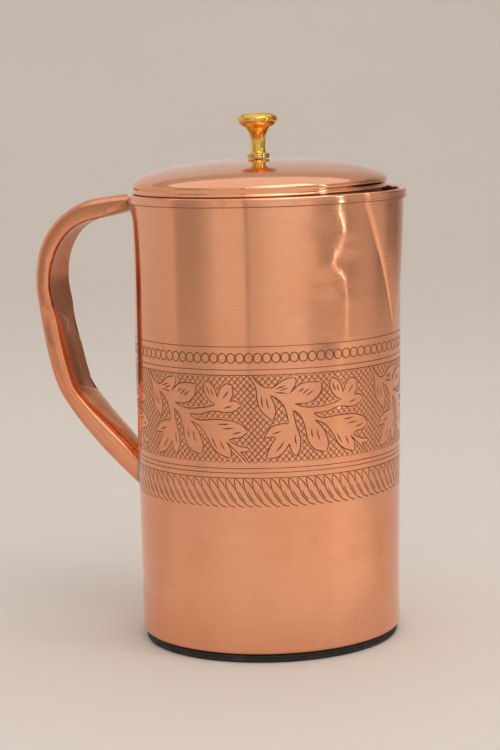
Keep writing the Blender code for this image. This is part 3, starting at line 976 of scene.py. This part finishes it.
def strip_section(position):
    """Loop of the grip strip: flat between the shell's edges, a rounded tongue near the rim."""
    crown_x, crown_z, finger_x, finger_z, half = station(position)
    length = math.hypot(crown_x - finger_x, crown_z - finger_z)
    out = ((crown_x - finger_x) / length, (crown_z - finger_z) / length)
    tongue = smooth((1.5 - position) / 0.9)
    past = smooth((position - CRIMP + 0.3) / 0.7)
    side = half - 1.5 - 0.5 * near(position, CRIMP, 0.5) - 0.7 * past
    pressed = near(position, CRIMP, 0.6) + 0.9 * past + 0.8 * smooth((position - 7.75) / 0.35)
    loop = []
    count = 14
    for layer in (0.3, 1.25):
        row = []
        for k in range(count + 1):
            t = -1 + 2 * k / count
            bow = 0.25 * (1 - t * t)
            depth = layer + pressed * (0.55 + 0.45 * abs(t)) + bow * (1 - tongue)
            flat = Vector(((finger_x + out[0] * depth) * MM, t * side * MM,
                           LEVEL + (finger_z + out[1] * depth) * MM))
            angle = -math.pi / 2 + t * (math.pi / 2 + 0.02)
            arc_point = section_point(position, angle, layer + 0.12)
            row.append(flat.lerp(arc_point, tongue))
        loop += row if layer < 1 else row[::-1]
    return loop


def make_handle_strip(mat):
    """Strip let into the handle's finger side, which ends under the lapped edge of the shell."""
    count = 132
    loops = [strip_section(SLOT_END * k / count) for k in range(count + 1)]
    new_piece("grip_strip", *loft(loops, capped=True),
              "jug", ["handle_strip"], "copper_handle", [mat["strip"]], 48)


def make_solder(name, node, mat):
    """Lumpy fillet of solder round a handle end, flat on its handle side."""
    low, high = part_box(node)
    centre_z = (low.z + high.z) / 2
    half_wide, half_high = (high.y - low.y) / 2 * 1.04, (high.z - low.z) / 2 * 1.05
    start, count = low.x - 0.9 * MM, 48
    loops = []
    for share, swell in ((0.0, 0.97), (0.12, 1.0), (0.3, 1.01), (0.6, 1.0), (0.85, 0.985), (1.0, 0.9)):
        loop = []
        for k in range(count):
            a = 2 * math.pi * k / count
            lump = swell * (0.975 + 0.025 * round_wave(3, a, share * 3))
            y = half_wide * lump * math.cos(a)
            up = centre_z + half_high * lump * math.sin(a)
            back = -math.sqrt(max(wall_radius(math.pi - 0.05, up - LEVEL) ** 2 - y * y, 0.0))
            back = min(back - 0.05 * MM, high.x)
            loop.append((start + (back - start) * share, y, up))
        loops.append(loop)
    new_piece(name, *loft(loops, capped=True), "jug", [node], "solder", [mat["solder"]], 60)


# --------------- stage

def make_stage():
    """Pale studio sweep: a flat floor that curves up into a round wall far away."""
    profile = [(0.0, 0.0), (0.6, 0.0), (1.6, 0.0)]
    profile += arc((1.6, 0.9), 0.9, -85, 0, 12) + [(2.5, 1.6), (2.5, 2.6)]
    n = Nodes("pale_sweep", 0.0)
    grain = n.noise(400, 3, 0.6)
    broad = n.noise(3, 2, 0.5)
    paint = n.finish(n.blend(n.ramp(broad, 0.35, 0.65), (0.745, 0.69, 0.64), (0.725, 0.67, 0.62)),
                     n.ramp(grain, 0.3, 0.7, 0.8, 0.9), [(grain, 0.05 * MM)])
    sweep = add_mesh("studio_sweep", *loft(turned(profile, 96)), [paint])
    sweep.data.shade_smooth()


def add_softbox(name, place, target, size, power, colour=(1, 1, 1)):
    """Area light that the camera doesn't see, only the jug and the floor do."""
    data = bpy.data.lights.new(name, "AREA")
    data.shape = "RECTANGLE"
    data.size, data.size_y = size
    data.energy = power * math.pi * size[0] * size[1]
    data.color = colour
    lamp = bpy.data.objects.new(name, data)
    lamp.location = place
    lamp.rotation_mode = "QUATERNION"
    lamp.rotation_quaternion = (Vector(target) - Vector(place)).to_track_quat("-Z", "Y")
    lamp.visible_camera = False
    bpy.context.collection.objects.link(lamp)


def around(azimuth, distance, height):
    """A place at an angle seen from the jug: 0 is towards the camera, positive to its right."""
    return polar(distance, math.radians(azimuth - 68), height)


# Studio panels round the jug, dark flags between pale cards: azimuth in degrees and brightness.
PANELS = (
    (-180, 0.66), (-150, 0.70), (-82, 0.70), (-77, 0.44), (-60, 0.42), (-52, 0.50), (-44, 0.66),
    (-38, 0.82), (-16.2, 0.84), (-15.8, 0.36), (-13.9, 0.36), (-13.5, 0.66), (-6, 0.70), (0, 0.84),
    (10, 0.92), (24, 0.92), (31, 0.84), (38, 0.56), (46, 0.43), (66, 0.42), (72, 0.50), (84, 0.54),
    (95, 0.46), (103, 0.24), (126, 0.23), (146, 0.45), (180, 0.66))
PANEL_COLOUR = (1.0, 0.93, 0.86)
# The same for a card lying round the foot.
CARD = ((-180, 0.64), (-95, 0.66), (-80, 0.74), (-20, 0.82), (10, 0.84), (30, 0.88), (48, 0.95),
        (62, 0.98), (78, 0.88), (95, 0.70), (180, 0.64))
CARD_COLOUR = (1.0, 0.87, 0.77)


def make_reflector(name, colour, levels, inner, outer):
    """Glowing ring round the jug, seen only as a reflection; its edges are (radius, height)."""
    verts, glows = [], []
    for (azimuth, level), (after, level_after) in zip(levels, levels[1:]):
        steps = math.ceil((after - azimuth) / 6)
        for i in range(steps):
            share = i / steps
            for radius, high in (inner, outer):
                verts.append(around(azimuth + (after - azimuth) * share, radius, high))
                glows.append(level + (level_after - level) * share)
    count = len(verts)
    faces = [(k, (k + 2) % count, (k + 3) % count, k + 1) for k in range(0, count, 2)]
    n = Nodes(name, 0.0)
    glow = n.add("ShaderNodeAttribute", attribute_name="glow").outputs["Fac"]
    n.shade({"Base Color": (0, 0, 0), "Specular IOR Level": 0.0, "Emission Color": colour,
             "Emission Strength": glow})
    ring = add_mesh(name, verts, faces, [n.material])
    ring.data.attributes.new("glow", "FLOAT", "POINT").data.foreach_set("value", glows)
    ring.visible_camera = ring.visible_diffuse = ring.visible_shadow = False


def make_lights():
    """Soft even room light, the cards round the jug, and lamps overhead, in front and at the right."""
    make_reflector("light_panels", PANEL_COLOUR, PANELS, (1.12, 0.0005), (1.12, 0.9))
    make_reflector("floor_card", CARD_COLOUR, CARD, (0.13, 0.0005), (0.6, 0.0005))
    add_softbox("top", around(40, 0.75, 1.6), (0, 0, 0), (1.0, 1.0), 1.5, (1.0, 0.97, 0.93))
    add_softbox("front", around(5, 1.3, 1.25), (0, 0, 0.1), (0.9, 0.35), 1.9, (1.0, 0.97, 0.94))
    add_softbox("strip", around(58, 1.0, 0.45), (0, 0, 0.1), (0.04, 0.6), 12.0, (1.0, 0.97, 0.94))
    world = bpy.data.worlds.new("studio")
    bpy.context.scene.world = world
    world.use_nodes = True
    sky = world.node_tree.nodes["Background"].inputs
    sky["Color"].default_value, sky["Strength"].default_value = (1.0, 0.975, 0.95, 1), 1.0
    bpy.context.scene.view_settings.view_transform = "Standard"


def make_camera():
    """Camera at the photograph's angle: 8 degrees down, seen 68 degrees round from the spout."""
    turn, tilt, roll = math.radians(22) + 0.0068, math.pi / 2 - 0.1450, -0.03
    data = bpy.data.cameras.new("camera")
    data.lens, data.sensor_width = 105.6, 36
    data.clip_start, data.clip_end = 0.05, 20
    camera = bpy.data.objects.new("camera", data)
    camera.matrix_world = (Matrix.Translation((0.3596, -0.8901, 0.2555)) @ Matrix.Rotation(turn, 4, "Z")
                           @ Matrix.Rotation(tilt, 4, "X") @ Matrix.Rotation(roll, 4, "Z"))
    bpy.context.collection.objects.link(camera)
    bpy.context.scene.camera = camera


def main():
    make_camera()
    make_stage()
    make_lights()
    mat = make_materials()
    for make in (make_body_shell, make_rim_band, make_base_disc, make_foot_pad, make_lid, make_knob,
                 make_handle_shell, make_handle_strip):
        make(mat)
    make_solder("rim_solder", "upper_solder_joint", mat)
    make_solder("wall_solder", "lower_solder_joint", mat)
    keep_node("knob_washer", mat["steel"])
    keep_node("knob_screw", mat["steel"])


main()
